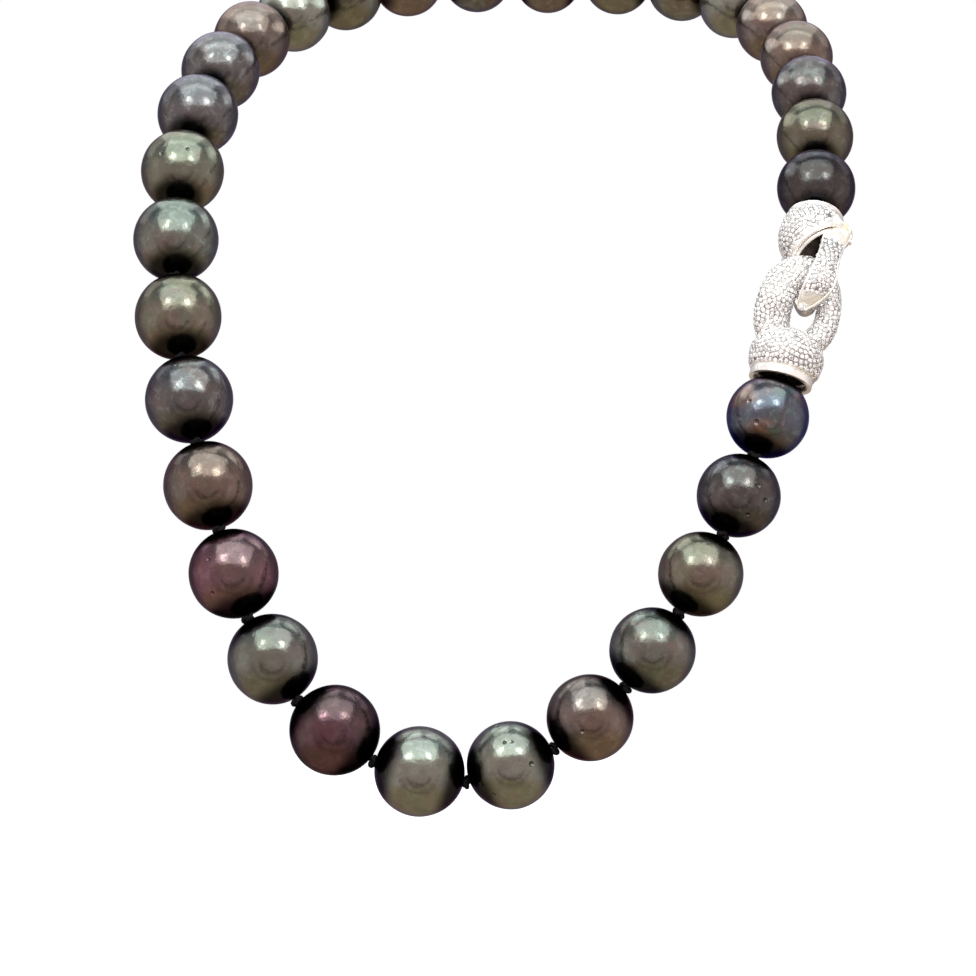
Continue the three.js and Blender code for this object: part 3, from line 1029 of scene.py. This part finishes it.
@dataclass
class PaveField:
    """Stones and beads set over part of a skin."""

    name: str
    spacing: float
    allowed: FaceTest
    seed: int
    stone_share: float = 0.5
    bead: float = 0.11 * MM
    crown: float = 0.24
    pavilion: float = 0.75
    table: float = 0.58
    relaxing: int = 50
    push_reach: float = 1.25
    haste: float = 0.25
    bead_reach: float = 1.45

    def settle_points(self, skin: bpy.types.Object) -> list[tuple[Vector, Vector]]:
        """Spreads points evenly over the allowed part of a skin.

        Args:
            skin: The skin the stones are set in.

        Returns:
            Each point with its outward normal.
        """
        draw = random.Random(self.seed)
        mesh = skin.data
        tree = BVHTree.FromObject(skin, bpy.context.evaluated_depsgraph_get())
        faces = [p for p in mesh.polygons if self.allowed(p.center, p.normal)]
        area = sum(p.area for p in faces)
        wanted = int(area / (self.spacing**2 * 0.9))
        draw.shuffle(faces)
        points: list[Vector] = []
        for face in faces:
            centre = face.center.copy()
            if all((centre - p).length > 0.6 * self.spacing for p in points):
                points.append(centre)
            if len(points) >= wanted:
                break
        for _ in range(self.relaxing):
            points = self._relaxed(points, tree)
        result = []
        for point in points:
            place, normal, _, _ = tree.find_nearest(point)
            crowded = any((place - other).length < 0.8 * self.spacing for other, _ in result)
            if self.allowed(place, normal) and not crowded:
                result.append((place, normal))
        return result

    def _relaxed(self, points: list[Vector], tree: BVHTree) -> list[Vector]:
        """Moves each point away from its neighbours and back onto the skin."""
        near = tree_of(points)
        reach = self.spacing * self.push_reach
        moved = []
        for index, point in enumerate(points):
            push = Vector((0, 0, 0))
            for other, which, distance in near.find_range(point, reach):
                if which != index and distance > 1e-9:
                    push += (point - other) * ((reach - distance) / distance)
            place, normal, _, _ = tree.find_nearest(point + push * self.haste)
            moved.append(place if self.allowed(place, normal) else point)
        return moved

    def stone_pattern(self) -> bpy.types.Object:
        """One single-cut stone of radius 1 mm, its table towards +Z."""
        deselect_all()
        bpy.ops.mesh.primitive_cylinder_add(vertices=8, radius=MM, depth=0.08 * MM)
        stone = bpy.context.object
        with editing(stone):
            select_where("faces", lambda f: f.normal.z > 0.9)
            rise = {"value": (0, 0, self.crown * MM)}
            bpy.ops.mesh.extrude_region_move(TRANSFORM_OT_translate=rise)
            bpy.ops.transform.resize(value=(self.table, self.table, 1), center_override=(0, 0, 0))
            select_where("faces", lambda f: f.normal.z < -0.9)
            fall = {"value": (0, 0, -self.pavilion * MM)}
            bpy.ops.mesh.extrude_region_move(TRANSFORM_OT_translate=fall)
            bpy.ops.mesh.merge(type="CENTER")
        return stone

    def bead_points(self, places: list[tuple[Vector, Vector]]) -> list[tuple[Vector, Vector]]:
        """The gaps between neighbouring stones, where the beads are raised."""
        near = tree_of([point for point, _ in places])
        found: list[tuple[Vector, Vector]] = []
        reach = self.spacing * self.bead_reach
        for index, (point, normal) in enumerate(places):
            close = [w for _, w, d in near.find_range(point, reach) if w > index]
            for at, first in enumerate(close):
                for second in close[at + 1 :]:
                    if (places[first][0] - places[second][0]).length > reach:
                        continue
                    middle = (point + places[first][0] + places[second][0]) / 3
                    facing = (normal + places[first][1] + places[second][1]).normalized()
                    if all((middle - m).length > 2.1 * self.bead for m, _ in found):
                        found.append((middle, facing))
        return found

    def scatter(
        self, pattern: bpy.types.Object, places: list[tuple[Vector, Vector]], size: float, name: str
    ) -> bpy.types.Object:
        """Copies a pattern to every place, as one object.

        Args:
            pattern: The shape, 1 mm in radius about Z.
            places: Points and normals.
            size: The shape's radius here.
            name: The result's name.

        Returns:
            The joined copies.
        """
        draw = random.Random(self.seed + 1)
        copies = []
        for point, normal in places:
            copy = own_copy(pattern, name)
            turn = Matrix.Rotation(draw.uniform(0, math.pi), 4, "Z")
            lean = Vector([draw.gauss(0, 0.05) for _ in range(3)])
            scale = Matrix.Scale(size / MM * draw.uniform(0.93, 1.03), 4)
            copy.data.transform(frame_along(point, normal + lean) @ turn @ scale)
            copies.append(copy)
        return join(copies, name)

    def build(self, skin: bpy.types.Object, body: str, finishes: Finishes) -> None:
        """Sets the field into a skin.

        Args:
            skin: The skin the stones are set in.
            body: The CAD body they move with.
            finishes: The shared materials.
        """
        # The ground round the stones takes the painted shade between them.
        inlay(skin, finishes.painted_shade_ground, self.allowed)
        places = self.settle_points(skin)
        stone = self.stone_pattern()
        stones = self.scatter(stone, places, self.spacing * self.stone_share, self.name + "_stones")
        remove(stone)
        draw = random.Random(self.seed + 2)
        flash = stones.data.attributes.new("flash", "FLOAT", "FACE")
        flash.data.foreach_set("value", [draw.random() ** 0.5 for _ in stones.data.polygons])
        on_body(stones, body, finishes.diamond)
        deselect_all()
        bpy.ops.mesh.primitive_ico_sphere_add(subdivisions=1, radius=MM)
        bead = bpy.context.object
        beads = self.scatter(bead, self.bead_points(places), self.bead, self.name + "_beads")
        remove(bead)
        smooth(beads, 80)
        on_body(beads, body, finishes.bead)


def bevelled_ring(
    name: str, place: Matrix, outer: float, inner: float, low: float, high: float
) -> bpy.types.Object:
    """A turned ring with rounded edges.

    Args:
        name: Its name.
        place: The frame, in millimetres, whose Y is its axis.
        outer: Its outer radius.
        inner: Its inner radius.
        low: Its lower face, along the axis.
        high: Its upper face.

    Returns:
        The ring.
    """
    deselect_all()
    bpy.ops.mesh.primitive_cylinder_add(
        vertices=96, radius=outer, depth=high - low, end_fill_type="NGON"
    )
    ring = bpy.context.object
    ring.name = name
    with editing(ring):
        select_where("faces", lambda f: abs(f.normal.z) > 0.9)
        bpy.ops.mesh.inset(thickness=outer - inner)
        bpy.ops.mesh.bridge_edge_loops()
        select_where(
            "edges", lambda e: len(e.link_faces) == 2 and e.calc_face_angle(0) > math.radians(60)
        )
        bpy.ops.mesh.bevel(offset=0.14 * min(high - low, outer - inner) + 0.03, segments=3)
        face_outwards()
    to_y = Matrix.Rotation(-math.pi / 2, 4, "X")
    settle(ring, place @ Matrix.Translation((0, (low + high) / 2, 0)) @ to_y)
    smooth(ring, 40)
    return ring


def coil(name: str, place: Matrix, low: float, high: float, turns: int) -> bpy.types.Object:
    """A close-wound sleeve of fine wire round the silk.

    Args:
        name: Its name.
        place: The frame, in millimetres, whose Y is its axis.
        low: Its lower end.
        high: Its upper end.
        turns: How many turns it has.

    Returns:
        The coil.
    """
    steps = turns * 14
    radius, wire = 0.66, (high - low) / turns * 0.5
    points = []
    for step in range(steps + 1):
        angle = math.tau * turns * step / steps
        y = low + wire + (high - low - 2 * wire) * step / steps
        points.append(place @ Vector((radius * math.cos(angle), y, radius * math.sin(angle))))
    wound = tube(name, points, min(wire, 0.15) * MM, sides=1)
    smooth(wound, 60)
    return wound


def seen_from(place: Matrix, test: FaceTest) -> FaceTest:
    """Lets a face test work in a frame of its own.

    Args:
        place: The frame.
        test: The test, on a face's centre and unit normal in that frame.

    Returns:
        The test on a centre and normal of the scene.
    """
    local = place.inverted()
    turn = local.to_3x3()
    return lambda point, normal: test(local @ point, (turn @ normal).normalized())


@dataclass
class ClaspPart:
    """What the clasp's parts share. Lengths are in millimetres, in the part's own frame."""

    name: str
    body: str
    spacing: float
    seed: int
    turned_away: float

    def takes_stone(self, at: Vector, facing: Vector) -> bool:
        """Whether a stone sits at a place, facing that way."""
        raise NotImplementedError

    def set_stones(self, skin: bpy.types.Object, place: Matrix, finishes: Finishes) -> None:
        """Sets stones and beads into a skin wherever the part takes them."""
        allowed = seen_from(place, self.takes_stone)
        PaveField(self.name, self.spacing, allowed, self.seed).build(skin, self.body, finishes)

    def add_fittings(
        self,
        place: Matrix,
        finishes: Finishes,
        collar: Sequence[float],
        sleeve: tuple[float, float, int],
        plate: Sequence[float],
    ) -> None:
        """Adds the collar, wire sleeve and plate of a half's cup.

        Args:
            place: The half's frame.
            finishes: The shared materials.
            collar: The collar's outer and inner radius, lower and upper face.
            sleeve: The sleeve's lower and upper end, and its turns.
            plate: The same of the plate as of the collar.
        """
        ring = bevelled_ring(self.name + "_collar_ring", place, *collar)
        on_body(ring, self.body, finishes.polished, [self.name + "_collar"])
        wound = coil(self.name + "_gimp", place, *sleeve)
        on_body(wound, self.body, finishes.bullion, [self.name + "_bullion"])
        disc = bevelled_ring(self.name + "_plate", place, *plate)
        # The plate deep in the cup takes the painted-shade finish.
        on_body(disc, self.body, finishes.inside, [self.name + "_cup_plate"])


@dataclass
class LoopHalf(ClaspPart):
    """The clasp's lower half: a twisted link cast onto a cup that takes the pearl below."""

    name: str = "loop"
    body: str = f"tier_{LOOP_TIER:02d}"
    spacing: float = 0.84 * MM
    seed: int = 11
    turned_away: float = -0.45
    rim: float = -19.0
    cup: float = 4.4

    def takes_stone(self, at: Vector, facing: Vector) -> bool:
        """Whether a stone sits here: outside, clear of the cup, and not against the skin."""
        inside = math.hypot(at.x, at.z) < self.cup and at.y < self.rim + 4.5
        return facing.z > self.turned_away and at.y > self.rim + 0.55 and not inside

    def in_cup(self, at: Vector, facing: Vector) -> bool:
        """Whether a face lies inside the cup that takes the pearl."""
        return math.hypot(at.x, at.z) < self.cup and at.y < self.rim + 6.0

    def build(self, seat: ClaspSeat, finishes: Finishes) -> None:
        """Builds and dresses the half."""
        place = seat.loop_frame()
        skin = softened_casting("loop_casting", "loop_skin", 0.24 * MM, 14)
        on_body(skin, self.body, finishes.polished, ["loop_casting"])
        # Painted shade inside the cup.
        inlay(skin, finishes.inside, seen_from(place, self.in_cup))
        self.set_stones(skin, place, finishes)
        collar = (5.25, 4.5, self.rim - 1.25, self.rim)
        plate = (3.9, 0.95, self.rim + 2.2, self.rim + 2.7)
        self.add_fittings(place, finishes, collar, (-18.85, -15.8, 9), plate)


@dataclass
class HookHalf(ClaspPart):
    """The clasp's upper half: a hood over a gallery, a back arm, and a shoulder for the gate."""

    name: str = "hook"
    body: str = f"tier_{HOOK_TIER:02d}"
    spacing: float = 0.82 * MM
    seed: int = 23
    turned_away: float = -0.5
    rim: float = 11.0
    lip: float = 0.34 * MM
    shoulder: Vector = field(default_factory=lambda: Vector((3.6, 7.1, 2.5)))
    shoulder_radius: float = 2.45
    gate_room: float = 1.4
    edge_normal: Vector = field(default_factory=lambda: Vector((-0.58, 0.79, -0.2)).normalized())
    edge_distance: float = 3.2
    hollow: Vector = field(default_factory=lambda: Vector((0, 4.1, 0)))
    hollow_radius: float = 3.7

    def hood_radius(self, y: float) -> float:
        """The hood's radius at a height above the crossing."""
        crown, widest, mouth = 0.8, 5.7, 4.7
        share = (y - crown) / (self.rim - crown)
        if share < 0.6:
            return widest * math.sqrt(max(0.0, 1 - (1 - share / 0.6) ** 2))
        return widest - (widest - mouth) * ((share - 0.6) / 0.4) ** 2

    def lip_points(self, place: Matrix, inset: float, drop: float = 0.0) -> list[Vector]:
        """Points along the hood's slanting lower edge, that far in from its skin and that far past it."""
        points = []
        steps = 72
        for step in range(steps):
            angle = math.tau * step / steps
            y = 5.0
            for _ in range(30):
                radius = self.hood_radius(y) - inset
                across = Vector((radius * math.cos(angle), 0, radius * math.sin(angle)))
                reached = (self.edge_distance + drop - self.edge_normal.dot(across)) / self.edge_normal.y
                y = 0.5 * y + 0.5 * max(1.2, min(10.5, reached))
            points.append(place @ Vector((across.x, y, across.z)))
        return points

    def on_skin(self, at: Vector) -> bool:
        """Whether a point is on the hood's outside, and not in its hollow."""
        return math.hypot(at.x, at.z) > self.hood_radius(at.y) - 0.5

    def takes_stone(self, at: Vector, facing: Vector) -> bool:
        """Whether a stone sits here: on the hood's outside, clear of its lip and shoulder."""
        outward = facing.x * at.x + facing.z * at.z > 0
        clear = (at - self.shoulder).length > self.shoulder_radius + self.gate_room
        above = self.edge_normal.dot(at) > self.edge_distance + 0.8 and at.y < self.rim - 0.55
        return facing.z > self.turned_away and outward and clear and above and self.on_skin(at)

    def on_hood(self, at: Vector, facing: Vector) -> bool:
        """Whether a face is on the hood's outside, which is polished where it has no stones."""
        return self.on_skin(at) and self.edge_normal.dot(at) > self.edge_distance

    def in_shade(self, at: Vector, facing: Vector) -> bool:
        """Whether a face lines the hollow under the hood, or the cup."""
        in_cup = at.y > self.rim - 3.0 and math.hypot(at.x, at.z) < 3.9
        return (at - self.hollow).length < self.hollow_radius or in_cup

    def on_shoulder(self, at: Vector, facing: Vector) -> bool:
        """Whether a face is part of the polished shoulder."""
        return (at - self.shoulder).length < self.shoulder_radius + 0.12

    def build(self, seat: ClaspSeat, finishes: Finishes) -> None:
        """Builds and dresses the half."""
        place = seat.hook_frame()
        skin = softened_casting("hook_casting", "hook_skin", 0.22 * MM, 9)
        on_body(skin, self.body, finishes.arm, ["hook_casting"])
        inlay(skin, finishes.polished, seen_from(place, self.on_hood))
        # Painted shade in the hollow under the hood and in the cup.
        inlay(skin, finishes.inside, seen_from(place, self.in_shade))
        # The shoulder takes the cream tint of a painted warm reflection.
        inlay(skin, finishes.cream_reflection, seen_from(place, self.on_shoulder))
        self.set_stones(skin, place, finishes)
        outer = tube("outer_lip", self.lip_points(place, 0.15), self.lip, closed=True, sides=3)
        inner = tube("inner_lip", self.lip_points(place, 0.75, -0.4), self.lip, closed=True, sides=3)
        lip = join([outer, inner], "hook_lip")
        smooth(lip, 60)
        on_body(lip, self.body, finishes.polished)
        collar = (4.75, 3.9, self.rim, self.rim + 0.5)
        plate = (3.3, 0.95, self.rim - 1.2, self.rim - 0.75)
        self.add_fittings(place, finishes, collar, (9.2, 11.55, 7), plate)


@dataclass
class Gate(ClaspPart):
    """The diamond-set lever that closes the hook, and the pin it turns on.

    Each section gives the lever's x, y and z there, and its half width and half thickness.
    """

    name: str = "gate"
    body: str = "gate"
    spacing: float = 0.8 * MM
    seed: int = 37
    turned_away: float = 0.3
    head: float = 4.3
    tip: float = -7.5
    rail_radius: float = 0.2 * MM
    sections: tuple[tuple[float, float, float, float, float], ...] = (
        (3.55, 7.8, 2.8, 0.7, 0.6),
        (3.5, 7.45, 2.9, 1.7, 1.4),
        (3.35, 6.6, 3.2, 2.35, 1.9),
        (3.0, 5.3, 3.7, 2.5, 1.85),
        (2.6, 3.9, 4.15, 2.25, 1.55),
        (2.2, 2.2, 4.4, 1.95, 1.3),
        (1.6, -0.9, 4.9, 1.95, 1.25),
        (1.35, -3.2, 4.9, 2.25, 1.3),
        (1.15, -5.2, 4.5, 2.55, 1.35),
        (0.7, -6.8, 3.6, 2.5, 1.35),
        (0.1, -8.0, 2.3, 1.95, 1.3),
        (-0.4, -8.7, 1.2, 1.25, 1.0),
        (-0.6, -8.95, 0.6, 0.55, 0.4),
    )

    def lever(self, place: Matrix) -> bpy.types.Object:
        """The lever's solid, section after section from its head to its tip.

        Args:
            place: The clasp's frame, in millimetres.

        Returns:
            The lever.
        """
        deselect_all()
        x, y, z, wide, thick = self.sections[0]
        bpy.ops.mesh.primitive_circle_add(
            vertices=20, radius=1, fill_type="NGON", location=(x, y, z), rotation=(math.pi / 2, 0, 0)
        )
        lever = bpy.context.object
        lever.name = "gate_skin"
        settle(lever)
        with editing(lever):
            bpy.ops.mesh.select_all(action="SELECT")
            bpy.ops.transform.resize(value=(wide, 1, thick), center_override=(x, y, z))
            for before, after in zip(self.sections, self.sections[1:]):
                shift = Vector(after[:3]) - Vector(before[:3])
                bpy.ops.mesh.extrude_region_move(TRANSFORM_OT_translate={"value": tuple(shift)})
                bpy.ops.transform.resize(
                    value=(after[3] / before[3], 1, after[4] / before[4]), center_override=after[:3]
                )
            face_outwards()
        settle(lever, place)
        apply_modifier(lever, "SUBSURF", levels=2, render_levels=2)
        smooth(lever, 60)
        return lever

    def rail(self, place: Matrix, side: int) -> bpy.types.Object:
        """A thin polished edge down one side of the lever.

        Args:
            place: The clasp's frame, in millimetres.
            side: 1 for the right, -1 for the left.

        Returns:
            The rail.
        """
        points = [
            Vector((x + side * 0.9 * wide, y, z + 0.36 * thick))
            for x, y, z, wide, thick in self.sections[2:]
        ]
        for _ in range(3):
            cut = [p.lerp(q, share) for p, q in zip(points, points[1:]) for share in (0.25, 0.75)]
            points = [points[0], *cut, points[-1]]
        return tube("rail", [place @ point for point in points], self.rail_radius, sides=2)

    def on_head(self, at: Vector, facing: Vector) -> bool:
        """Whether a face is part of the plain polished head."""
        return at.y > self.head - 0.1 - 0.3 * at.x

    def takes_stone(self, at: Vector, facing: Vector) -> bool:
        """Whether a stone sits here: on the lever's outer face, clear of head and tip."""
        return facing.z > self.turned_away and self.tip < at.y < self.head - 0.4 - 0.3 * at.x

    def build(self, seat: ClaspSeat, finishes: Finishes) -> None:
        """Builds and dresses the lever and its pin."""
        place = seat.hook_frame()
        skin = self.lever(place)
        on_body(skin, self.body, finishes.polished, ["gate_arm"])
        # The gate's head takes the cream tint of a painted warm reflection.
        inlay(skin, finishes.cream_reflection, seen_from(place, self.on_head))
        self.set_stones(skin, place, finishes)
        rails = join([self.rail(place, side) for side in (-1, 1)], "gate_rails")
        smooth(rails, 60)
        on_body(rails, self.body, finishes.polished)
        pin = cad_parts["gate_hinge_pin"]
        pin.data.materials.clear()
        pin.data.materials.append(finishes.polished)


# ----- The studio -----


@dataclass
class Studio:
    """A plain pale sweep, soft lights and the camera.

    A ring gives its angle from the front, its width and its depth. A far light gives its way
    from the strand's middle, a near one its place and the way it faces. White ones aren't mirrored.
    """

    eye: Vector = field(default_factory=lambda: Vector((-0.0112, -0.7198, -0.0952)))
    lens: float = 142.93
    floor_level: float = -0.42
    rings: tuple[tuple[float, float, float], ...] = ((31, 8, 0.85), (52, 7, 0.5))
    far_lights: tuple[tuple, ...] = (
        ("ceiling", (0.0, -0.3, 0.47), (0.95, 0.72), 3.6, MINT),
        ("lamp_left", (-0.31, -0.5, 0.46), (0.1, 0.2), 0.5, MINT),
        ("lamp_right", (0.28, -0.52, 0.43), (0.1, 0.18), 0.5, MINT),
        ("wash_right", (0.3, -0.9, 0.5), (0.7, 0.7), 11.5, WHITE),
        ("wash_left", (-0.7, -0.7, 0.1), (0.7, 0.7), 6.0, WHITE),
        ("wash_back", (0.3, 0.9, 0.4), (0.7, 0.7), 12.0, WHITE),
    )
    near_lights: tuple[tuple, ...] = (
        ("near_left", (-0.065, -0.015, 0.035), (0, -0.1, -1), (0.09, 0.12), 0.048),
        ("near_right", (0.045, 0.0, 0.03), (0, 0, -1), (0.07, 0.1), 0.024),
        ("crown", (-0.01, 0.06, 0.075), (0, -0.02, -1), (0.6, 0.16), 0.19),
    )

    def light(
        self,
        name: str,
        place: Vector,
        aim: Vector,
        size: Sequence[float],
        power: float,
        colour: Colour,
        mirrored: bool = True,
    ) -> None:
        """Adds a rectangular soft light.

        Args:
            name: Its name.
            place: Where it stands.
            aim: What it faces.
            size: Its width and height.
            power: Its power.
            colour: Its colour.
            mirrored: Whether glossy things mirror it.
        """
        data = bpy.data.lights.new(name, "AREA")
        data.shape = "RECTANGLE"
        data.size, data.size_y = size
        data.energy = power
        data.color = colour
        lamp = bpy.data.objects.new(name, data)
        bpy.context.scene.collection.objects.link(lamp)
        lamp.visible_glossy = mirrored
        lamp.location = place
        lamp.rotation_euler = (aim - place).to_track_quat("-Z", "Y").to_euler()

    def world(self) -> None:
        """A white surround for the eye, with a dimmer, graded one in reflections."""
        shader = Shader("surround", world=True)
        bpy.context.scene.world = shader.material
        way = shader.node("ShaderNodeTexCoord", output="Generated")
        up = shader.vector_part(way, "Z")
        side = shader.vector_part(way, "X")
        back = shader.vector_part(way, "Y")
        wall = shader.mix((side * side).ramp(0.2, 0.9), (0.64, 0.5, 0.475), (0.76, 0.65, 0.62))
        wall = shader.mix(back.ramp(-0.1, 0.7), wall, (0.3, 0.27, 0.31))
        wall = shader.mix(up.ramp(0.3, 0.9), wall, (0.24, 0.27, 0.31))
        wall = shader.mix((0 - up).ramp(0.25, 0.75), wall, (0.5, 0.4, 0.27))
        front = 0 - back
        for edge, width, depth in self.rings:
            low, high = math.cos(math.radians(edge + width)), math.cos(math.radians(edge - width))
            middle = math.cos(math.radians(edge))
            ring = front.ramp(low, middle) * (1 - front.ramp(middle, high))
            wall = shader.mix(ring * (0 - up).ramp(-0.02, 0.3) * depth, wall, (0.05, 0.04, 0.04))
        seen = shader.node("ShaderNodeLightPath", output="Is Camera Ray")
        shader.dress(Color=shader.mix(seen, wall, WHITE))

    def build(self) -> None:
        """Builds the stage."""
        bpy.context.scene.view_settings.view_transform = "Standard"
        deselect_all()
        bpy.ops.mesh.primitive_plane_add(size=6, location=(0, 1.0, self.floor_level))
        floor = bpy.context.object
        floor.name = "floor"
        settle(floor)
        floor.data.materials.append(FloorFinish().material())
        floor.visible_glossy = False
        floor.visible_diffuse = False
        self.world()
        heart = Vector((-0.01, -0.07, -0.08))
        for name, way, size, power, colour in self.far_lights:
            self.light(name, heart + Vector(way), heart, size, power, colour, colour != WHITE)
        for name, place, way, size, power in self.near_lights:
            self.light(name, Vector(place), Vector(place) + Vector(way), size, power, MINT)
        camera = bpy.data.cameras.new("camera")
        camera.sensor_width = 36
        camera.lens = self.lens
        holder = bpy.data.objects.new("camera", camera)
        bpy.context.scene.collection.objects.link(holder)
        holder.location = self.eye
        holder.rotation_euler = (math.pi / 2, 0, 0)
        bpy.context.scene.camera = holder


def main() -> None:
    """Builds the necklace piece by piece, then its stage."""
    logging.basicConfig(level=logging.INFO, format="%(name)s: %(message)s")
    finishes = Finishes()
    lines = PearlStrand().build(finishes)
    seat = ClaspSeat.between(lines["pearl_right_06"], lines["pearl_right_09"])
    SilkThread().build(finishes, lines, seat)
    LoopHalf().build(seat, finishes)
    HookHalf().build(seat, finishes)
    Gate().build(seat, finishes)
    Studio().build()


if __name__ == "__main__":
    main()
